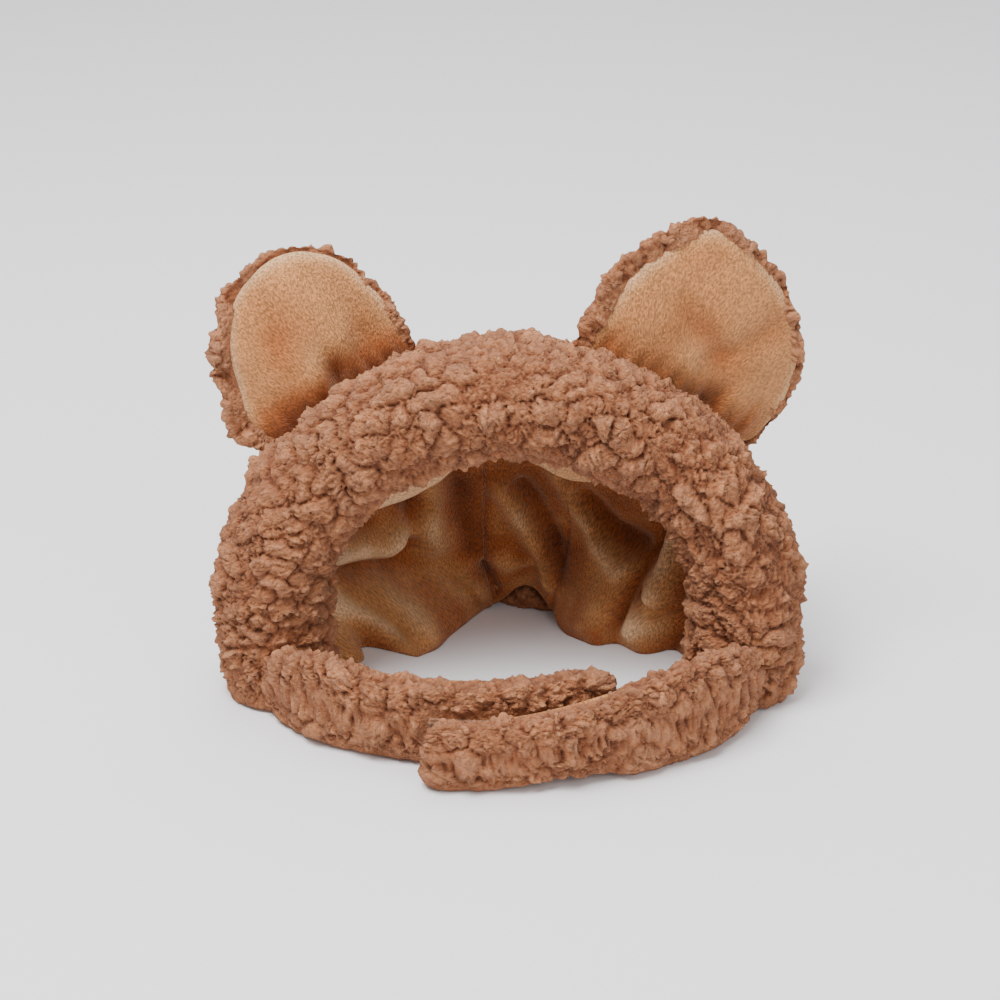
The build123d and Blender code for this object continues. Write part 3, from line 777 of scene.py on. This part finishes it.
def root_inside(path, outward, foot):
    """The path with its start drawn into a foot of the face roll, its outward directions, and the drop."""
    travel = np.concatenate([[0], np.cumsum(norm(np.diff(path, axis=0), axis=1))])
    pull = np.clip(1 - travel / ROOT_LENGTH, 0, 1) ** 2
    drawn = path + (np.asarray(foot) - path[0]) * pull[:, None]
    along = np.gradient(drawn, axis=0)
    across = np.stack([along[:, 1], -along[:, 0]], axis=1) / norm(along, axis=1, keepdims=True)
    return drawn, across * np.sign((across * outward).sum(1))[:, None], ROOT_DROP * pull


def strap_body(path, outward, high, thick, round_end):
    """A strap that stands on the floor and narrows at its root and at its end."""
    low, thick = np.zeros(len(path)), np.full(len(path), thick)
    return upright_strip(path, outward, low, high, thick, FLEECE_GRID, round_start=3.0, round_end=round_end)


def strap_fleece(name, node, shape, seed, bare=0.0):
    """The fleece piece of a strap, with short pile near the floor and none where bare is 1."""
    curl_pile(shape, (1 - bare) * np.clip((shape.points[:, 2] - 0.5) / 4.0, 0.25, 1), seed, tall=STRAP_PILE)
    return build(name, shape.rest_on_floor(), FLEECE, [node])


def strap_left():
    """The left half of the chin strap, with a bare place for the loop patch."""
    path, outward = arc_path(STRAP_CENTRE, LEFT_MIDDLE, LEFT_START, LEFT_END, FLEECE_GRID)
    drawn, across, drop = root_inside(path, outward, LEFT_FOOT)
    share = np.linspace(0, 1, len(path))
    high = 26.5 + 1.2 * np.sin(share * 9.0) - 1.0 * share - drop
    shape = strap_body(drawn, across, high, LEFT_THICK, round_end=6.0)
    radius = norm(shape.points[:, :2] - STRAP_CENTRE, axis=1)
    patch = np.clip(1 - (np.abs(angles_round(shape.points) - PATCH_MIDDLE) - PATCH_SPAN - 1.2) / 1.5, 0, 1)
    patch *= np.clip(1 - (shape.points[:, 2] - PATCH_TOP - 1.2) / 2.0, 0, 1) * (radius > LEFT_MIDDLE)
    piece = strap_fleece("strap_left_fleece", "strap_left_cover", shape, seed=41, bare=patch)
    blend_strap(piece, path[0], outward[0])


def blend_strap(piece, root, outward):
    """Bake a strap's placement into its points. The way along the strap from its root is worked out but not
    used.
    """
    along = np.array((-outward[1], outward[0]))
    if along @ (np.array((0.0, -90.0)) - root) < 0:
        along = -along
    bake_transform(piece)


RIGHT_ROOT = np.array((82.0, -19.5))


def right_arc():
    """The centre, radius and angles of the right strap's arc, tangent to the tab."""
    start_angle = 270 + np.degrees(np.arcsin((36.0 - STRAP_CENTRE[0]) / 107.0))
    way = np.array((cos(radians(start_angle)), sin(radians(start_angle))))
    start = STRAP_CENTRE + way * 107.0
    chord = RIGHT_ROOT - start
    turn = 2 * (np.arctan2(chord[1], chord[0]) - radians(start_angle - 270))
    bend = norm(chord) / (2 * sin(turn / 2))
    return start - way * bend, bend, start_angle, start_angle + np.degrees(turn)


def strap_right():
    """The right half of the chin strap."""
    centre, bend, start, end = right_arc()
    path, outward = arc_path(centre, bend + 0.9, end - 1.0, start - 1.5, FLEECE_GRID)
    share = np.linspace(0, 1, len(path))
    path -= outward * (4.0 * (1 - share) ** 3)[:, None]
    drawn, across, drop = root_inside(path, outward, RIGHT_FOOT)
    high = 29.5 + 1.5 * np.sin(share * 4.0) - drop
    shape = strap_body(drawn, across, high, RIGHT_THICK, round_end=3.0)
    piece = strap_fleece("strap_right_fleece", "strap_right_cover", shape, seed=42)
    blend_strap(piece, path[0], outward[0])


def closure_tab():
    """The tab that closes over the left strap, lower and rounded at its free end."""
    path, outward = arc_path(STRAP_CENTRE, TAB_MIDDLE, TAB_START + 2.5, TAB_END, FLEECE_GRID)
    share = np.linspace(0, 1, len(path))
    high = 28.0 - 8.5 * share - 1.0 * np.sin(share * pi)
    low = 3.2 * np.sin(np.clip(share * 1.25, 0, 1) * pi) ** 2
    thick = np.full(len(path), TAB_THICK)
    shape = upright_strip(path, outward, low, high, thick, FLEECE_GRID, round_end=5.0)
    piece = strap_fleece("tab_fleece", "tab_cover", shape, seed=43)
    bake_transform(piece)


def strap_linings():
    """The plush that backs each strap piece."""
    centre, bend, start, end = right_arc()
    left = (STRAP_CENTRE, 87.6, LEFT_START, LEFT_END - 1.5)
    right = (centre, bend - 3.4, end - 1.0, start + 0.5)
    tab = (STRAP_CENTRE, 103.6, TAB_START - 0.5, TAB_END + 1.5)
    bands = (
        ("strap_left_lining", "strap_left", left, (24.0, 24.0), LEFT_FOOT),
        ("strap_right_lining", "strap_right", right, (27.0, 27.0), RIGHT_FOOT),
        ("tab_lining", "tab", tab, (26.0, 17.0), None),
    )
    for node, body, arc, heights, foot in bands:
        middle, radius = arc[:2]
        path, outward = arc_path(*arc, LINING_GRID)
        high = np.linspace(*heights, len(path))
        if foot is not None:
            path, outward, drop = root_inside(path, outward, foot - outward[0] * 4.5)
            path, outward, high = (part[steps(10.0, LINING_GRID):] for part in (path, outward, high - drop))
        low = np.full(len(path), 0.8)
        shape = upright_strip(path, outward, low, high, np.full(len(path), 3.2), LINING_GRID, round_end=2.0)
        shape.values["tone_and_painted_light"] = np.clip(0.4 + 0.25 * smooth_noise(shape.points, 7.0, 96), 0, 1)
        along = np.degrees(np.arctan2(shape.points[:, 1] - middle[1], shape.points[:, 0] - middle[0]))
        run = along * radians(radius)
        shape.values["pile"] = np.column_stack([run, shape.points[:, 2], np.zeros(len(along))])
        shape.points[:, :2] += 0.3 * smooth_noise(shape.points, 5.0, 97)[:, None]
        piece = build(node + "_plush", shape.rest_on_floor(), PLUSH, [node])
        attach(piece, body)


# ---- ears ----
EARS = {
    "ear_left": {"origin": (-53.612, 20.5232, 96.429), "along": (0.843379, 0.056165, 0.534376)},
    "ear_right": {"origin": (50.5132, 20.7209, 98.3098), "along": (0.863464, -0.052725, -0.501647)},
}
EAR_YAW = radians(13.0)       # both fronts turn a little to the right
# The sewn edge of each ear in its own axes, x along the hinge and y to the tip.
EAR_OUTLINES = {
    "ear_left": [
        (-23, -10), (-29, 2), (-26, 13), (-22, 24), (-13, 35), (0, 39.5),
        (11, 37.5), (20, 29), (24, 17), (25, 4), (21, -9), (0, -12),
    ],
    "ear_right": [
        (-25, -10), (-28.5, 3), (-28.5, 18), (-23, 32), (-14, 43), (1, 42.5),
        (16, 36.5), (29, 25.5), (35.5, 12), (36, -2), (30, -12), (0, -14),
    ],
}
EAR_MIDDLES = {"ear_left": (-1.5, 13.0), "ear_right": (2.0, 14.0)}
# Dents and ridges of the plush: x, y, half width, half length, turn in radians, height.
EAR_DENTS = {
    "ear_left": [
        (1.0, 0.0, 2.8, 6.0, 0.25, -3.4), (-4.5, 4.0, 3.4, 9.0, 0.45, 1.8), (8.0, 9.0, 4.5, 7.0, 0.7, 1.5),
        (-9.0, 18.0, 5.5, 12.0, 0.5, -2.0), (14.0, 5.0, 4.5, 9.0, 0.1, -1.4),
        (-17.0, -3.0, 5.0, 8.0, -0.3, -1.6),
    ],
    "ear_right": [
        (12.0, -6.0, 4.5, 8.0, 0.35, -3.4), (9.0, 11.0, 4.0, 9.0, 0.6, -1.6),
        (0.0, 14.0, 13.0, 4.5, 0.35, -1.8), (18.0, 24.0, 5.0, 9.0, 0.8, -1.3),
        (1.0, 3.0, 7.0, 5.0, 0.2, 1.6), (-24.0, -4.0, 5.0, 7.0, 0.0, -1.4), (21.0, 1.0, 4.0, 9.0, 0.2, 1.0),
    ],
}
# Painted shade: how much darker the plush is coloured where it is gathered at the base.
EAR_BASE_PAINTED_SHADE = {"ear_left": 0.5, "ear_right": 0.2}
EAR_SEAM = 1.4                # the seam ahead of the hinge plane
FRONT_SWELL, BACK_SWELL, BATTING_SWELL = 6.0, 8.6, 2.6     # how far each piece stands off the seam


def closed_curve(controls, count):
    """Evenly spaced points on a smooth closed curve through the control points."""
    controls = np.asarray(controls, float)
    before, after, next_after = (np.roll(controls, shift, axis=0) for shift in (1, -1, -2))
    pieces = []
    for t in np.linspace(0, 1, 40, endpoint=False):
        bend = controls + 0.5 * t * (after - before)
        bend = bend + 0.5 * t**2 * (2 * before - 5 * controls + 4 * after - next_after)
        bend = bend + 0.5 * t**3 * (-before + 3 * controls - 3 * after + next_after)
        pieces.append(bend)
    curve = np.stack(pieces, axis=1).reshape(-1, controls.shape[1])
    curve = np.concatenate([curve, curve[:1]])
    travel = np.concatenate([[0], np.cumsum(norm(np.diff(curve, axis=0), axis=1))])
    wanted = np.linspace(0, travel[-1], count, endpoint=False)
    return np.stack([np.interp(wanted, travel, curve[:, i]) for i in range(curve.shape[1])], axis=1)


def pillow_half(name, swell, spacing, grow=0.0, left_grow=0.0, flat_side=-0.5, size=1.0):
    """A domed half of the ear's pillow: the dome on one side of the seam and a flat face just past it."""
    middle = np.array(EAR_MIDDLES[name])
    outline = closed_curve(EAR_OUTLINES[name], steps(200.0, spacing))
    away = outline - middle
    reach = norm(away, axis=1, keepdims=True)
    leftness = np.clip(-away[:, :1] / reach, 0, 1)
    away *= size * (1 + (grow + left_grow * leftness) / reach)
    rounds = steps(30.0, spacing)
    dome = np.sin(np.linspace(0.02, 1, rounds) * pi / 2)
    heights = EAR_SEAM + swell * (1 - dome**2.6) ** 0.62
    flat = np.linspace(1, 0.05, rounds)
    shares = np.concatenate([dome, flat])
    heights = np.concatenate([heights, np.full(len(flat), EAR_SEAM + flat_side)])
    rows = [
        np.column_stack([middle + away * share, np.full(len(away), height)])
        for share, height in zip(shares, heights)
    ]
    shape = tube(np.array(rows))
    shape.reach = np.concatenate([np.repeat(shares, len(away)), [0, 0]])
    return shape


def ear_to_row(name, points):
    """Points in an ear's own axes, turned by its yaw, in the row frame."""
    along = np.array(EARS[name]["along"])
    forward = -LEAN_BACK
    tip = np.cross(forward, along)
    x = points[:, 0] * cos(EAR_YAW) + points[:, 2] * sin(EAR_YAW)
    z = -points[:, 0] * sin(EAR_YAW) + points[:, 2] * cos(EAR_YAW)
    turned = np.outer(x, along) + np.outer(points[:, 1], tip) + np.outer(z, forward)
    return np.array(EARS[name]["origin"]) + turned


def dent_at(points, x, y, wide, tall, turn):
    """A soft oval spot, 1 at its middle, in the plane of an ear."""
    dx, dy = points[:, 0] - x, points[:, 1] - y
    along, across = dx * sin(turn) + dy * cos(turn), dx * cos(turn) - dy * sin(turn)
    return np.exp(-((across / wide) ** 2) - (along / tall) ** 2)


def ear_front(name):
    """The plush front, dented where the filling is thin and gathered at its base."""
    front = pillow_half(name, FRONT_SWELL, PLUSH_GRID)
    local = front.points.copy()
    face = np.clip((local[:, 2] - EAR_SEAM) / 3.0, 0, 1)
    dent = np.zeros(len(local))
    for x, y, wide, tall, turn, amount in EAR_DENTS[name]:
        dent += amount * dent_at(local, x, y, wide, tall, turn)
    base = np.clip((6.0 - local[:, 1]) / 12.0, 0, 1)
    gathers = 0.5 * np.sin(local[:, 0] * 1.1 + 1.5 * smooth_noise(local, 9.0, 7)) * base
    front.points[:, 2] += (dent + gathers + 0.5 * smooth_noise(local, 11.0, 8)) * face
    middle = np.array(EAR_MIDDLES[name])
    # Painted light: the plush is coloured paler along the rim and on raised ridges as painted highlight, and
    # darker in the dents and at the gathered base as painted shade.
    rim_highlight = np.clip(1 - (local[:, 2] - EAR_SEAM) / 3.2, 0, 1)
    patchy_tone_and_painted_light = 0.06 * smooth_noise(local, 9.0, 9)
    patchy_tone_and_painted_light += EAR_BASE_PAINTED_SHADE[name] * base**1.2
    front.values["tone_and_painted_light"] = np.clip(0.4 - 0.05 * dent - 0.36 * rim_highlight + patchy_tone_and_painted_light, 0, 1)
    angle = np.arctan2(local[:, 0] - middle[0], local[:, 1] + 30.0)
    away = np.hypot(local[:, 0] - middle[0], local[:, 1] + 30.0)
    front.values["pile"] = np.stack([angle * 45.0, away, local[:, 2]], axis=1)
    front.points = ear_to_row(name, front.points)
    return front


def ears():
    """Each ear: a plush front, a fleece back and the filling between them."""
    for seed, name in enumerate(EARS, start=51):
        front = build(name + "_plush", ear_front(name), PLUSH, [name + "_front"])
        back = pillow_half(name, -BACK_SWELL, FLEECE_GRID, grow=1.0, left_grow=4.4, flat_side=0.0)
        behind = back.points[:, 2] < EAR_SEAM - 0.01
        outside = np.where(behind, 1.0, np.clip((back.reach - 0.8) / 0.08, 0, 1))
        back.points = ear_to_row(name, back.points)
        curl_pile(back, outside, seed=seed, tall=0.9, deepest=-1.0, lift=0.7)
        back = build(name + "_fleece", back, FLEECE, [name + "_back"])
        filling = pillow_half(name, BATTING_SWELL, 1.5, flat_side=-3.0, size=0.62)
        filling.points[:, 2] += 0.4 * smooth_noise(filling.points, 6.0, seed) - 1.8
        filling.points = ear_to_row(name, filling.points)
        wadding = CARRIED["face_band_wadding"]
        filling = build(name + "_filling", filling, wadding, [name + "_batting"])
        for piece, fill in ((front, 0.6), (back, 0.6), (filling, 0.4)):
            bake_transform(piece)


# ---- floor, light and camera ----
def studio():
    """A pale floor and soft light from above and the left."""
    bpy.ops.mesh.primitive_plane_add(size=8.0)
    floor = bpy.context.object
    floor.name = "floor"
    material, tree, shader, add = new_material("floor")
    set_plain(shader, Base_Color=(0.86, 0.85, 0.87, 1.0), Roughness=0.9)
    floor.data.materials.append(material)
    world = bpy.data.worlds.new("studio")
    world.use_nodes = True
    world.node_tree.nodes["Background"].inputs["Color"].default_value = (1.0, 0.99, 0.98, 1.0)
    world.node_tree.nodes["Background"].inputs["Strength"].default_value = 0.55
    bpy.context.scene.world = world
    target = Vector((0, 0.01, 0.06))
    for name, place, size, power in (
        ("key", (-0.35, -0.3, 1.15), 0.6, 24.0),
        ("fill", (0.7, -0.9, 0.6), 0.9, 5.0),
        ("top", (0.1, 0.5, 1.1), 0.9, 8.0),
    ):
        light = bpy.data.lights.new(name, "AREA")
        light.energy, light.size = power, size
        lamp = bpy.data.objects.new(name, light)
        lamp.location = place
        lamp.rotation_euler = (target - Vector(place)).to_track_quat("-Z", "Y").to_euler()
        bpy.context.scene.collection.objects.link(lamp)


def camera():
    """The viewpoint: in front, looking down."""
    elevation, distance = radians(25.0), 0.85
    aim = Vector((-0.00275, 0.007, 0.06))
    data = bpy.data.cameras.new("camera")
    data.lens, data.sensor_width = 100.0, 36.0
    eye = bpy.data.objects.new("camera", data)
    eye.location = aim + Vector((0, -cos(elevation), sin(elevation))) * distance
    eye.rotation_euler = (pi / 2 - elevation, 0, 0)
    bpy.context.scene.collection.objects.link(eye)
    bpy.context.scene.camera = eye


camera()
studio()
face_band()
crown_panels()
neck_hem()
lining()
strap_left()
strap_right()
closure_tab()
strap_linings()
ears()
